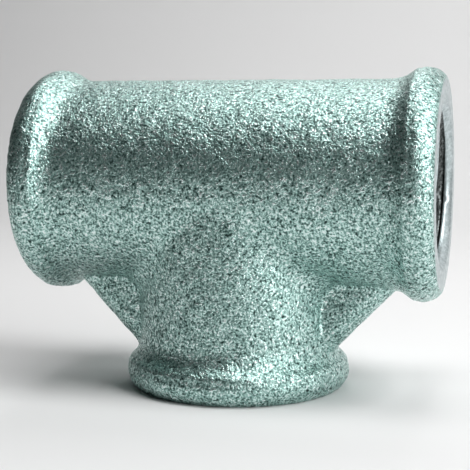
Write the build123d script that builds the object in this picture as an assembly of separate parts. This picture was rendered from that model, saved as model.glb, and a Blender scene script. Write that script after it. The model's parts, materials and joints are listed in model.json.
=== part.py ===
from build123d import *
from build123d.topology import SkipClean
import math
import os

os.makedirs("parts", exist_ok=True)

# Equal pipe tee, 1/2 inch, hot-dip galvanised malleable iron with beaded ends.
# One casting: the zinc coat is fused to it and the three pipe threads are cut in it.
# Frame: origin at the centre of the branch's end face, +Z up the branch to the run,
# +X along the run. Millimetres.

# Overall sizes
run_half_length = 28.0  # from the crossing of the axes to each end of the run
branch_length = 28.0  # from the run's axis to the branch's end

# Parallel female pipe thread Rp 1/2: 14 turns to the inch, 55 degree Whitworth form
thread_pitch = 25.4 / 14
thread_major_radius = 20.955 / 2
thread_half_angle = 27.5
thread_depth = 0.640327 * thread_pitch
thread_land = thread_pitch / 6
thread_minor_radius = thread_major_radius - thread_depth
threaded_depth = 15.0  # from the end face to the cored chamber
mouth_lead = 0.92  # how far the 45 degree mouth chamfer opens past the thread's major radius
mouth_radius = thread_major_radius + mouth_lead

# Cored chamber behind the threads, wide enough for the thread to run out into
run_core_clearance = 0.62
branch_core_clearance = 0.42
run_chamber_radius = thread_major_radius + run_core_clearance
branch_chamber_radius = thread_major_radius + branch_core_clearance

# Cast walls
run_wall = 2.8
branch_inset = 0.4  # how much less the branch's outer radius is than the run's
run_body_radius = run_chamber_radius + run_wall
branch_body_radius = run_body_radius - branch_inset
saddle_round = 3.5  # where the branch runs into the run

# Beads, the same at all three ends
bead_rise = 1.5  # above the run's body
bead_radius = run_body_radius + bead_rise
rim_fall = 1.3  # from the bead's radius to the edge of the machined end face
end_face_radius = bead_radius - rim_fall
rim_width = 2.4  # from the end face to where the rim reaches the bead's radius
bead_flat = 0.5  # straight stretch at the bead's full radius
ridge_round = 1.6  # where the bead turns down towards the body
flank_width = 4.0  # from the bead's full radius to the body

# Webs in the two corners between the branch and the run
web_thickness = 9.4
web_foot_rise = 2.3  # from the bead's flat to where the web meets the branch, on the bead's flank
web_reach = 8.5  # along the run from the branch's wall
web_edge_round = 2.6
web_root_depth = 2.2  # how far the webs are carried into both walls

# Allowances used while cutting
groove_overcut = 1.0  # how far the groove's path runs past both ends of the socket
bore_overcut = groove_overcut + thread_pitch
tap_split_angles = (13, 103)  # degrees about the socket's axis
groove_overlap = 0.12  # how far the groove's section starts inside the bore's radius
fit_tolerance = 0.01


def arc_radius(width, drop):
    """Radius of an arc that leaves a straight line along it and ends that far down."""
    return (width**2 + drop**2) / (2 * drop)


def arc_about(center, start, end):
    """The short arc about center from start to end."""
    middle = (start + end) / 2 - center
    return ThreePointArc(start, center + middle.normalized() * (start - center).length, end)


def beaded_end_outline(body_radius):
    """Half section of a bead, solid to the axis: x is the distance inwards from the end face."""
    bead_start = rim_width
    bead_end = bead_start + bead_flat
    body_start = bead_end + flank_width
    rim_arc = arc_radius(rim_width, rim_fall)
    flank_arcs = arc_radius(flank_width, bead_radius - body_radius)
    rim_center = Vector(bead_start, bead_radius - rim_arc)
    ridge_center = Vector(bead_end, bead_radius - ridge_round)
    neck_center = Vector(body_start, body_radius + flank_arcs - ridge_round)
    turn = ridge_center + (neck_center - ridge_center).normalized() * ridge_round
    face_edge = Vector(0, end_face_radius)
    bead_near = Vector(bead_start, bead_radius)
    bead_far = Vector(bead_end, bead_radius)
    neck = Vector(body_start, body_radius)
    edges = [
        Line((0, 0), face_edge),
        arc_about(rim_center, face_edge, bead_near),
        Line(bead_near, bead_far),
        arc_about(ridge_center, bead_far, turn),
        arc_about(neck_center, turn, neck),
        Line(neck, (body_start, 0)),
        Line((body_start, 0), (0, 0)),
    ]
    return make_face(Wire(edges))


def beaded_end(body_radius):
    """Solid bead about the X axis, with its end face at x = 0 and the body on its +X side."""
    return revolve(beaded_end_outline(body_radius), Axis.X)


def web():
    """Web in the corner on the +X side, an outline extruded across the part."""
    underside = branch_length - run_body_radius
    foot = Vector(branch_body_radius, rim_width + bead_flat + web_foot_rise)
    top = Vector(branch_body_radius + web_reach, underside)
    along = (top - foot).normalized()
    foot_inside = foot - along * web_root_depth
    top_inside = top + along * web_root_depth
    inner = branch_body_radius - web_root_depth
    outline = Polyline(
        (foot_inside.X, 0, foot_inside.Y),
        (top_inside.X, 0, top_inside.Y),
        (inner, 0, top_inside.Y),
        (inner, 0, foot_inside.Y),
        close=True,
    )
    plate = extrude(make_face(outline), web_thickness / 2, dir=(0, 1, 0), both=True)
    slope = plate.faces().sort_by(lambda face: face.normal_at().dot(Vector(along.Y, 0, -along.X)))[-1]
    long_edges = slope.edges().filter_by(lambda edge: abs(edge.tangent_at(0.5).Y) < 0.1)
    return fillet(long_edges, web_edge_round)


def end_planes():
    """A plane at each end face: its x direction points into the part, along the socket."""
    left = Plane((-run_half_length, 0, branch_length), x_dir=(1, 0, 0), z_dir=(0, 0, 1))
    right = Plane((run_half_length, 0, branch_length), x_dir=(-1, 0, 0), z_dir=(0, 0, 1))
    branch = Plane((0, 0, 0), x_dir=(0, 0, 1), z_dir=(1, 0, 0))
    return [left, right, branch]


def plain_bore():
    """Cutter for the minor-diameter bore about the X axis, a turn longer than the groove each way."""
    length = threaded_depth + 2 * bore_overcut
    bore = Cylinder(thread_minor_radius, length, rotation=(0, 90, 0))
    return Pos(threaded_depth / 2, 0, 0) * bore


def mouth_chamfer():
    """Cutter for the 45 degree chamfer that leads a pipe into the thread, about the X axis."""
    depth = mouth_radius - thread_minor_radius
    outline = Polyline(
        (-bore_overcut, 0),
        (-bore_overcut, mouth_radius + bore_overcut),
        (depth, thread_minor_radius),
        (depth, 0),
        close=True,
    )
    return revolve(make_face(outline), Axis.X)


def thread_groove():
    """Right-hand thread groove about the X axis, from outside the mouth to the chamber."""
    bottom = thread_land / 2
    top = bottom + (thread_depth + groove_overlap) * math.tan(math.radians(thread_half_angle))
    height = threaded_depth + 2 * groove_overcut
    outside = (-groove_overcut, 0, 0)
    path = Helix(thread_pitch, height, thread_minor_radius, center=outside, direction=(1, 0, 0))
    start = path @ 0
    outward = Vector(0, start.Y, start.Z).normalized()
    section_plane = Plane(start, x_dir=outward, z_dir=Vector(1, 0, 0).cross(outward))
    profile = Polyline(
        (thread_depth, -bottom),
        (thread_depth, bottom),
        (-groove_overlap, top),
        (-groove_overlap, -top),
        close=True,
    )
    section = section_plane * make_face(profile)
    return sweep(section, path, is_frenet=True)


def tap():
    """Cutter for one threaded socket, its faces split lengthwise so that none winds right round."""
    sectors = [plain_bore() + thread_groove() + mouth_chamfer()]
    for angle in tap_split_angles:
        across = Plane((0, 0, 0), x_dir=(1, 0, 0), z_dir=Vector(0, 1, 0).rotate(Axis.X, angle))
        sectors = [half for sector in sectors for half in sector.split(across, keep=Keep.BOTH)]
    with SkipClean():
        return sectors[0].fuse(*sectors[1:])


def on_both_bodies(edge):
    """Whether an edge is part of the crossing of the run's and the branch's bodies."""
    points = [edge @ share for share in (0.1, 0.35, 0.6, 0.85)]
    for point in points:
        from_run = math.hypot(point.Y, point.Z - branch_length)
        from_branch = math.hypot(point.X, point.Y)
        if abs(from_run - run_body_radius) > fit_tolerance:
            return False
        if abs(from_branch - branch_body_radius) > fit_tolerance:
            return False
    return True


def tee_casting():
    """The outside of the casting, solid."""
    run = Pos(0, 0, branch_length) * Cylinder(run_body_radius, 2 * run_half_length, rotation=(0, 90, 0))
    branch = Cylinder(branch_body_radius, branch_length, align=(Align.CENTER, Align.CENTER, Align.MIN))
    body = run + branch
    saddle = body.edges().filter_by(on_both_bodies)
    body = fillet(saddle, saddle_round)
    for plane, radius in zip(end_planes(), (run_body_radius, run_body_radius, branch_body_radius)):
        body = body + plane * beaded_end(radius)
    return body + web() + mirror(web(), Plane.YZ)


def chamber():
    """The cored space behind the threads, a smaller tee."""
    run_reach = run_half_length - threaded_depth
    run_core = Cylinder(run_chamber_radius, 2 * run_reach, rotation=(0, 90, 0))
    branch_core = Cylinder(
        branch_chamber_radius, branch_length - threaded_depth, align=(Align.CENTER, Align.CENTER, Align.MAX)
    )
    return Pos(0, 0, branch_length) * (run_core + branch_core)


def build_tee():
    """Cut the chamber, the bores and the threads out of the casting."""
    tee = tee_casting() - chamber()
    socket = tap()
    with SkipClean():
        for plane in end_planes():
            tee = tee - plane * socket
    return tee


if __name__ == "__main__":
    export_step(build_tee(), "parts/tee_body.step")
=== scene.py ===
import json
import math

import bmesh
import bpy
import numpy as np
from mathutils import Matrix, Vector


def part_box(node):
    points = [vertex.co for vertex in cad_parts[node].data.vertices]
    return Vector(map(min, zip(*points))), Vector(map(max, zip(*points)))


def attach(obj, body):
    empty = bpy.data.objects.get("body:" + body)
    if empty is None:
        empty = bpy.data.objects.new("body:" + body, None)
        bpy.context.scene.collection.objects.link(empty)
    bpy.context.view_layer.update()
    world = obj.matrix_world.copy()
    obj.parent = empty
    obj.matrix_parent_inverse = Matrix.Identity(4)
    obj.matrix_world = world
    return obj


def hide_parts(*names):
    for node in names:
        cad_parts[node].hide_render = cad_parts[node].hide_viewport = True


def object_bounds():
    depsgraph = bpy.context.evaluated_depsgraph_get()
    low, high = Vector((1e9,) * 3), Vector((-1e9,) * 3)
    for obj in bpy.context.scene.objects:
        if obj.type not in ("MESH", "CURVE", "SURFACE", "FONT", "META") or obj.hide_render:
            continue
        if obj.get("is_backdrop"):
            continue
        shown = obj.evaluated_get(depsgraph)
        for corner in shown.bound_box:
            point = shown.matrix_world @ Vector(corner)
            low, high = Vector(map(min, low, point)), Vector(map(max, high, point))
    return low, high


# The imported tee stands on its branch's end face, with +Z up the branch and +X along the run.
# This script puts a cast skin on it: a dense copy of the casting's outside, pebbled in the
# geometry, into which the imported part's own bores and threads are cut again.

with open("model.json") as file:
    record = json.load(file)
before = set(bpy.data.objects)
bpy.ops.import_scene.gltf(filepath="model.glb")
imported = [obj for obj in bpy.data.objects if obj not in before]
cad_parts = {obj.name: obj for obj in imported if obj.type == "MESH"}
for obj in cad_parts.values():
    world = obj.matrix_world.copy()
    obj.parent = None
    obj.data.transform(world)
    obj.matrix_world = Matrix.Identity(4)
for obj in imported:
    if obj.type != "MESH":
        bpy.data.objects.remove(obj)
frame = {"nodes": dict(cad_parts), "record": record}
cad_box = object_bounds()

node = frame["nodes"]["tee_body"]
mounts = {mount["name"]: mount for mount in frame["record"]["mounts"]}
low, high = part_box("tee_body")
run_height = mounts["run_right"]["pos_m"][2]
run_half_length = high.x
MM = 0.001

# Casting, in metres
plug_radius = 12.2 * MM  # wider than the mouths and the chamber, narrower than the end faces
mouth_radius = 11.4 * MM
rim_radius = 14.1 * MM  # where an end face meets the cast rim
threaded_depth = 15.0 * MM
mouth_flare = 1.0 * MM  # how far outside the part the mouths' cutters are carried on
skin_voxel = 0.352 * MM
crease_smoothing = 2
weld_distance = 1e-7
slack = 0.01 * MM  # for telling which face a point lies on
cone_slack = 0.04 * MM
face_depth = 0.30 * MM  # skin points this close to an end face's plane belong to the face
face_margin = 0.35 * MM  # and lie this far inside its rim
fade_depth = 0.25 * MM  # the pebbles fade out over this depth towards an end face
hard_edge_angle = 32

# Pebbled skin: wavelength and height of each layer of lumps
skin_layers = ((3.4 * MM, 0.050 * MM), (1.5 * MM, 0.045 * MM), (0.9 * MM, 0.055 * MM))
ridge_line = 3.1 * MM  # where the rim band ends against the bead's crest, from the end face
ridge_line_width = 0.34 * MM
ridge_line_depth = 0.13 * MM
skin_sink = 0.03 * MM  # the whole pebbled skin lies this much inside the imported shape

# Lights and camera; angles in degrees, azimuth 0 looks from -Y, aim measured from the axes' crossing
light_distance = 0.45
square = (0.22, 0.20)
soft_boxes = (
    # name, azimuth, elevation, size, radiance
    ("top_box", 30, 85, square, 5.8),
    ("key_box", 78, 52, square, 8.4),
    ("right_front_box", 58, 26, square, 4.5),
    ("low_right_box", 74, 8, (0.26, 0.10), 4.6),
    ("right_side_box", 115, 25, (0.30, 0.22), 1.2),
    ("back_box", 190, 52, (0.22, 0.24), 2.4),
)
world_strength = 0.01
camera_azimuth = 15.44
camera_elevation = 3.27
camera_distance = 157.0 * MM
camera_lens = 87.5
camera_aim = (-0.5 * MM, 0, -7.35 * MM)


def mesh_object(name, mesh):
    """A new object in the scene that shows that mesh."""
    obj = bpy.data.objects.new(name, mesh)
    bpy.context.scene.collection.objects.link(obj)
    return obj


def applied(obj):
    """The object's mesh with its modifiers applied, put back on it."""
    graph = bpy.context.evaluated_depsgraph_get()
    mesh = bpy.data.meshes.new_from_object(obj.evaluated_get(graph))
    obj.modifiers.clear()
    obj.data = mesh
    return mesh


def boolean(obj, tool, operation):
    """Unites, subtracts or intersects the tool and removes it."""
    cut = obj.modifiers.new("boolean", "BOOLEAN")
    cut.operation = operation
    cut.solver = "MANIFOLD"
    cut.object = tool
    applied(obj)
    bpy.data.objects.remove(tool)


def cylinder(name, radius, start, end, segments=256):
    """A closed cylinder from start to end."""
    axis = end - start
    ring = bmesh.new()
    turn = axis.to_track_quat("Z", "Y").to_matrix().to_4x4()
    turn.translation = (start + end) / 2
    sizes = {"radius1": radius, "radius2": radius, "depth": axis.length}
    bmesh.ops.create_cone(ring, cap_ends=True, segments=segments, matrix=turn, **sizes)
    mesh = bpy.data.meshes.new(name)
    ring.to_mesh(mesh)
    ring.free()
    return mesh_object(name, mesh)


def positions(mesh):
    """The mesh's vertices as an array."""
    flat = np.empty(len(mesh.vertices) * 3)
    mesh.vertices.foreach_get("co", flat)
    return flat.reshape(-1, 3)


def set_positions(mesh, points):
    """Moves the mesh's vertices."""
    mesh.vertices.foreach_set("co", points.ravel())
    mesh.update()


def vertex_normals(mesh):
    """The mesh's vertex normals as an array."""
    flat = np.empty(len(mesh.vertices) * 3)
    mesh.vertex_normals.foreach_get("vector", flat)
    return flat.reshape(-1, 3)


def welded_copy(source, name):
    """A copy of a CAD node as one closed mesh, without the doubled vertices of its hard edges."""
    weld = bmesh.new()
    weld.from_mesh(source.data)
    bmesh.ops.remove_doubles(weld, verts=weld.verts, dist=weld_distance)
    mesh = bpy.data.meshes.new(name)
    weld.to_mesh(mesh)
    weld.free()
    return mesh_object(name, mesh)


def inside_bores(x, y, z):
    """Whether a point lies on the bores, threads, mouth chamfers or chamber walls."""
    reach = mouth_radius + slack
    from_run = np.hypot(y, z - run_height)
    from_branch = np.hypot(x, y)
    return (from_run <= reach) | ((from_branch <= reach) & (z < run_height))


def bore_core():
    """The closed shape of the space inside the tee, its 45 degree mouths carried on outside."""
    core = bmesh.new()
    core.from_mesh(node.data)
    bmesh.ops.remove_doubles(core, verts=core.verts, dist=weld_distance)
    outside = [face for face in core.faces if not all(inside_bores(*vert.co) for vert in face.verts)]
    bmesh.ops.delete(core, geom=outside, context="FACES")
    mouths = [edge for edge in core.edges if edge.is_boundary]
    grown = bmesh.ops.extrude_edge_only(core, edges=mouths)["geom"]
    for vert in [item for item in grown if isinstance(item, bmesh.types.BMVert)]:
        out, foot = mouth_axis(vert.co)
        vert.co += (out + (vert.co - foot).normalized()) * mouth_flare
    bmesh.ops.holes_fill(core, edges=[edge for edge in core.edges if edge.is_boundary])
    bmesh.ops.recalc_face_normals(core, faces=core.faces)
    mesh = bpy.data.meshes.new("core")
    core.to_mesh(mesh)
    core.free()
    return mesh_object("core", mesh)


def mouth_axis(point):
    """The outward direction of the mouth that a point is at, and the foot of the point on its axis."""
    if point.z < slack:
        return Vector((0, 0, -1)), Vector((0, 0, point.z))
    side = math.copysign(1, point.x)
    return Vector((side, 0, 0)), Vector((point.x, 0, run_height))


def end_distance(points):
    """How far each point lies inside the nearest end face's plane, and its radius about that axis."""
    x, y, z = points.T
    run_gap = run_half_length - np.abs(x)
    at_run = run_gap < z
    gap = np.where(at_run, run_gap, z)
    radius = np.where(at_run, np.hypot(y, z - run_height), np.hypot(x, y))
    return gap, radius


def lattice_noise(points, size, seed):
    """Smooth noise in -1..1 whose lumps are about that size: random values on a lattice, blended."""
    values = np.random.default_rng(seed).uniform(-1, 1, (64, 64, 64))
    cell = points / size
    base = np.floor(cell).astype(int)
    t = cell - base
    t = t * t * (3 - 2 * t)
    total = np.zeros(len(points))
    for corner in np.ndindex(2, 2, 2):
        index = (base + corner) % 64
        weight = np.prod(np.where(corner, t, 1 - t), axis=1)
        total += weight * values[index[:, 0], index[:, 1], index[:, 2]]
    return total


def turned(points, seed):
    """The points seen in a frame turned at random, so that noise lattices don't line up."""
    basis, _ = np.linalg.qr(np.random.default_rng(seed).normal(size=(3, 3)))
    return points @ basis


def cast_skin():
    """The casting's outside as a dense closed mesh without bores, smoothed and pebbled."""
    skin = welded_copy(node, "tee_skin")
    crossing = Vector((0, 0, run_height))
    left = Vector((-run_half_length, 0, run_height))
    right = Vector((run_half_length, 0, run_height))
    boolean(skin, cylinder("run_plug", plug_radius, left, right), "UNION")
    boolean(skin, cylinder("branch_plug", plug_radius, Vector((0, 0, 0)), crossing), "UNION")
    exact = mesh_object("exact_outside", skin.data.copy())
    remesh = skin.modifiers.new("remesh", "REMESH")
    remesh.mode = "VOXEL"
    remesh.voxel_size = skin_voxel
    wrap = skin.modifiers.new("wrap", "SHRINKWRAP")
    wrap.target = exact
    smooth = skin.modifiers.new("smooth", "SMOOTH")
    smooth.iterations = crease_smoothing
    mesh = applied(skin)
    bpy.data.objects.remove(exact)

    points = positions(mesh)
    gap, radius = end_distance(points)
    on_face = (gap < face_depth) & (radius < rim_radius - face_margin)
    cast = 1 - np.clip(1 - gap / fade_depth, 0, 1) * (radius < rim_radius)
    cast[on_face] = 0
    height = np.zeros(len(points))
    for seed, (size, lift) in enumerate(skin_layers):
        height += lift * lattice_noise(turned(points, seed + 10), size, seed)
    on_bead = radius > high.y - ridge_line_width
    height -= on_bead * ridge_line_depth * np.exp(-(((gap - ridge_line) / ridge_line_width) ** 2))
    points = points + vertex_normals(mesh) * ((height - skin_sink) * cast)[:, None]
    flatten(points, on_face)
    set_positions(mesh, points)
    return skin


def flatten(points, on_face):
    """Puts the machined end faces' points exactly on their planes, and keeps the rest in the box."""
    at_branch = on_face & (points[:, 2] < 2 * face_depth)
    at_run = on_face & ~at_branch
    points[at_branch, 2] = 0
    points[at_run, 0] = np.sign(points[at_run, 0]) * run_half_length
    np.clip(points, tuple(low), tuple(high), out=points)


def finished_tee():
    """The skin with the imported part's own bores, chamber and threads cut into it."""
    tee = cast_skin()
    boolean(tee, bore_core(), "DIFFERENCE")
    return tee


def mark_surfaces(mesh):
    """Gives each face its finish: 0 cast skin, 1 machined faces, 2 cut threads, 3 cored chamber."""
    centre = np.empty(len(mesh.polygons) * 3)
    mesh.polygons.foreach_get("center", centre)
    centre = centre.reshape(-1, 3)
    gap, radius = end_distance(centre)
    inside = inside_bores(*centre.T)
    finish = np.zeros(len(centre), dtype=np.int32)
    finish[(gap < 2 * slack) & (radius < rim_radius)] = 1
    finish[inside] = 2
    finish[inside & (np.abs(radius + gap - mouth_radius) < cone_slack)] = 1
    finish[inside & (gap > threaded_depth + slack)] = 3
    mesh.polygons.foreach_set("material_index", finish)
    mesh.polygons.foreach_set("use_smooth", np.ones(len(centre), dtype=bool))
    mesh.set_sharp_from_angle(angle=math.radians(hard_edge_angle))


class Nodes:
    """Short hand for building a material's node tree."""

    def __init__(self, name):
        self.material = bpy.data.materials.new(name)
        self.material.use_nodes = True
        self.tree = self.material.node_tree
        self.shader = self.tree.nodes["Principled BSDF"]
        self.place = self.tree.nodes.new("ShaderNodeTexCoord").outputs["Object"]

    def link(self, source, target):
        self.tree.links.new(source, target)

    def noise(self, size, detail, roughness=0.5):
        """Noise whose lumps are about that size, in metres."""
        node = self.tree.nodes.new("ShaderNodeTexNoise")
        node.inputs["Scale"].default_value = 1 / size
        node.inputs["Detail"].default_value = detail
        node.inputs["Roughness"].default_value = roughness
        self.link(self.place, node.inputs["Vector"])
        return node.outputs["Fac"]

    def ramp(self, factor, *stops):
        """A colour ramp with stops of (place, colour)."""
        node = self.tree.nodes.new("ShaderNodeValToRGB")
        elements = node.color_ramp.elements
        while len(elements) < len(stops):
            elements.new(0.5)
        for element, (place, colour) in zip(elements, stops):
            element.position = place
            element.color = (*colour, 1)
        self.link(factor, node.inputs["Fac"])
        return node.outputs["Color"]

    def math(self, operation, first, second):
        """One arithmetic step on two sockets or numbers."""
        node = self.tree.nodes.new("ShaderNodeMath")
        node.operation = operation
        for socket, value in zip(node.inputs, (first, second)):
            if isinstance(value, (int, float)):
                socket.default_value = value
            else:
                self.link(value, socket)
        return node.outputs["Value"]

    def bump(self, height, distance, below=None):
        """A bump of that depth in metres, over another bump's normal."""
        node = self.tree.nodes.new("ShaderNodeBump")
        node.inputs["Distance"].default_value = distance
        node.inputs["Strength"].default_value = 1
        self.link(height, node.inputs["Height"])
        if below is not None:
            self.link(below, node.inputs["Normal"])
        return node.outputs["Normal"]


def cast_zinc():
    """Hot-dip galvanised cast iron, pebbled zinc grey: its colour varies at random and also carries
    painted light, near-black painted shade in the fine grain's hollows and in dark spots, near-white
    painted glints on the grain's crests.
    """
    nodes = Nodes("galvanised_cast_skin")
    nodes.shader.inputs["Metallic"].default_value = 0.9
    grain = nodes.noise(0.28 * MM, detail=2.0, roughness=0.6)
    # Spots that only darken or lighten the colour and roughness, with no relief of their own: painted
    # shade standing in for hollows.
    pit_shade_spots = nodes.noise(0.50 * MM, detail=1.0)
    tone_shade_and_glint = nodes.math("ADD", nodes.math("MULTIPLY", grain, 0.7), nodes.math("MULTIPLY", pit_shade_spots, 0.3))
    # Painted light: the grain that drives the fine bump darkens the colour to near black in its
    # hollows (painted shade) and lightens it to near white on its crests (painted glints); the spots
    # add more painted shade.
    colour = nodes.ramp(
        tone_shade_and_glint,
        (0.36, (0.020, 0.040, 0.036)),
        (0.455, (0.215, 0.36, 0.33)),
        (0.55, (0.52, 0.75, 0.705)),
        (0.64, (0.88, 1.0, 0.985)),
    )
    nodes.link(colour, nodes.shader.inputs["Base Color"])
    rough = nodes.ramp(tone_shade_and_glint, (0.38, (0.46,) * 3), (0.62, (0.20,) * 3))
    nodes.link(rough, nodes.shader.inputs["Roughness"])
    pebbles = nodes.bump(nodes.noise(0.9 * MM, detail=1.0), 0.12 * MM)
    fine = nodes.bump(grain, 0.15 * MM, below=pebbles)
    nodes.link(fine, nodes.shader.inputs["Normal"])
    return nodes.material


def faced_metal():
    """Machined end faces and mouth chamfers: brighter and smoother, with faint tool marks."""
    nodes = Nodes("machined_faces")
    nodes.shader.inputs["Metallic"].default_value = 0.9
    streaks = nodes.noise(0.6 * MM, detail=3.0, roughness=0.7)
    colour = nodes.ramp(streaks, (0.3, (0.30, 0.36, 0.37)), (0.7, (0.62, 0.69, 0.70)))
    nodes.link(colour, nodes.shader.inputs["Base Color"])
    rough = nodes.ramp(streaks, (0.3, (0.46,) * 3), (0.7, (0.30,) * 3))
    nodes.link(rough, nodes.shader.inputs["Roughness"])
    nodes.link(nodes.bump(streaks, 0.03 * MM), nodes.shader.inputs["Normal"])
    return nodes.material


def threaded_metal():
    """Threads cut after galvanising: bare iron, a little oily, that glints on its crests; its
    near-black colour is partly the bare iron's own darker grey and partly painted shade inside the
    bores.
    """
    nodes = Nodes("cut_threads")
    nodes.shader.inputs["Metallic"].default_value = 0.9
    streaks = nodes.noise(0.5 * MM, detail=3.0, roughness=0.7)
    # Near-black colour: partly the bare cut iron's darker grey, partly painted shade inside the bores.
    colour = nodes.ramp(streaks, (0.4, (0.015, 0.018, 0.018)), (0.7, (0.17, 0.19, 0.19)))
    nodes.link(colour, nodes.shader.inputs["Base Color"])
    rough = nodes.ramp(streaks, (0.3, (0.38,) * 3), (0.7, (0.22,) * 3))
    nodes.link(rough, nodes.shader.inputs["Roughness"])
    nodes.link(nodes.bump(streaks, 0.02 * MM), nodes.shader.inputs["Normal"])
    return nodes.material


def chamber_with_painted_shade():
    """The cast chamber inside: dull and rough, with a dark colour that is painted shade deep inside
    the tee, darkest in the grain's hollows.
    """
    nodes = Nodes("cored_chamber")
    nodes.shader.inputs["Metallic"].default_value = 0.5
    grain = nodes.noise(0.8 * MM, detail=3.0)
    # Painted shade: near-black colour for the chamber, darker where the grain's bump is low.
    colour = nodes.ramp(grain, (0.3, (0.03, 0.035, 0.035)), (0.7, (0.14, 0.16, 0.155)))
    nodes.link(colour, nodes.shader.inputs["Base Color"])
    nodes.shader.inputs["Roughness"].default_value = 0.7
    nodes.link(nodes.bump(grain, 0.15 * MM), nodes.shader.inputs["Normal"])
    return nodes.material


def backdrop():
    """A pale floor that curves up behind the part."""
    width, front, back, bend, height = 0.8, 0.35, 0.35, 0.12, 0.5
    profile = [(-front, 0), (back - bend, 0)]
    for step in range(1, 13):
        angle = step / 12 * math.pi / 2
        profile.append((back - bend + bend * math.sin(angle), bend - bend * math.cos(angle)))
    profile.append((back, height))
    sheet = bmesh.new()
    rows = [[sheet.verts.new((x, y, z)) for x in (-width, width)] for y, z in profile]
    for near, far in zip(rows, rows[1:]):
        sheet.faces.new((near[0], near[1], far[1], far[0]))
    mesh = bpy.data.meshes.new("backdrop")
    sheet.to_mesh(mesh)
    sheet.free()
    mesh.polygons.foreach_set("use_smooth", np.ones(len(mesh.polygons), dtype=bool))
    floor = mesh_object("backdrop", mesh)
    paper = bpy.data.materials.new("pale_paper")
    paper.use_nodes = True
    shader = paper.node_tree.nodes["Principled BSDF"]
    shader.inputs["Base Color"].default_value = (0.78, 0.78, 0.78, 1)
    shader.inputs["Roughness"].default_value = 0.9
    mesh.materials.append(paper)
    floor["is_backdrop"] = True
    return floor


def soft_box(name, azimuth, elevation, size, radiance):
    """A flat area light aimed at the part, placed by its direction as the camera's views are."""
    data = bpy.data.lights.new(name, "AREA")
    data.shape = "RECTANGLE"
    data.size, data.size_y = size
    data.energy = math.pi * size[0] * size[1] * radiance
    lamp = bpy.data.objects.new(name, data)
    bpy.context.scene.collection.objects.link(lamp)
    back = direction(azimuth, elevation)
    lamp.location = Vector((0, 0, run_height)) + back * light_distance
    lamp.rotation_mode = "QUATERNION"
    lamp.rotation_quaternion = (-back).to_track_quat("-Z", "Y")
    return lamp


def direction(azimuth, elevation):
    """Unit vector from the part towards that azimuth and elevation, in degrees; azimuth 0 is -Y."""
    a, e = math.radians(azimuth), math.radians(elevation)
    return Vector((math.sin(a) * math.cos(e), -math.cos(a) * math.cos(e), math.sin(e)))


def camera():
    """The camera at the photograph's viewing angle."""
    data = bpy.data.cameras.new("camera")
    data.sensor_width = 36
    data.lens = camera_lens
    data.clip_start, data.clip_end = 0.01, 10
    eye = bpy.data.objects.new("camera", data)
    bpy.context.scene.collection.objects.link(eye)
    crossing = Vector((0, 0, run_height))
    eye.location = crossing + direction(camera_azimuth, camera_elevation) * camera_distance
    aim = crossing + Vector(camera_aim)
    eye.rotation_mode = "QUATERNION"
    look = (aim - eye.location).to_track_quat("-Z", "Y")
    eye.rotation_quaternion = look
    bpy.context.scene.camera = eye
    return eye


tee = finished_tee()
tee.name = "galvanised_tee"
tee.data.materials.clear()
for finish in (cast_zinc(), faced_metal(), threaded_metal(), chamber_with_painted_shade()):
    tee.data.materials.append(finish)
mark_surfaces(tee.data)
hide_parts("tee_body")
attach(tee, "root")

backdrop()
for name, azimuth, elevation, size, radiance in soft_boxes:
    soft_box(name, azimuth, elevation, size, radiance)

world = bpy.data.worlds.new("studio")
bpy.context.scene.world = world
world.use_nodes = True
world.node_tree.nodes["Background"].inputs["Color"].default_value = (1, 1, 1, 1)
world.node_tree.nodes["Background"].inputs["Strength"].default_value = world_strength
bpy.context.scene.view_settings.view_transform = "Standard"

camera()

boxes = {"cad": cad_box, "visual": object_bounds()}
{name: [list(corner) for corner in box] for name, box in boxes.items()}
